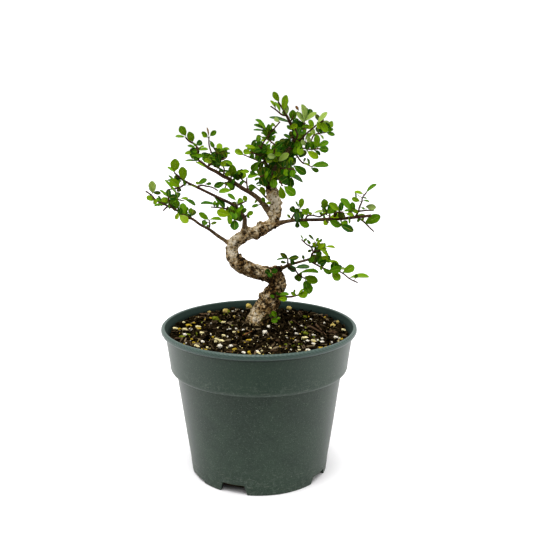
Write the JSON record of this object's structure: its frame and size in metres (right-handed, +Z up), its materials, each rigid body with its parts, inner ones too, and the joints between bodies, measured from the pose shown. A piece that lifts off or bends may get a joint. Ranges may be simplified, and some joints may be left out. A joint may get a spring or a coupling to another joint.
{
  "type": "potted chinese elm bonsai",
  "caption": "Small elm bonsai with a curved trunk, leafy side branches and a leafy crown, growing in a round tapered plastic nursery pot of soil.",
  "frame": {"origin": "middle of the pot's base, on the surface that it stands on", "axes": "+Z up, +X to the right of the tree's front view, +Y from the front to the back"},
  "size_m": [0.1983, 0.165, 0.3206],
  "materials": {
    "pot_plastic": "dark grey-green moulded plastic with pale scuffs",
    "soil": "damp bark and peat potting mix with white perlite",
    "bark": "rough mottled grey-brown bark",
    "leaf": "smooth green leaves with a soft gloss"
  },
  "bodies": {
    "root": {"pot": "pot_plastic", "soil": "soil", "trunk": "bark", "branch_left_low": "leaf", "branch_left_mid": "leaf", "branch_left_high": "leaf", "branch_right_mid": "leaf", "branch_right_low": "leaf", "crown": "leaf", "sprig_low": "leaf", "sprout_knee": "leaf", "sucker_base": "leaf"}
  },
  "joints": []
}
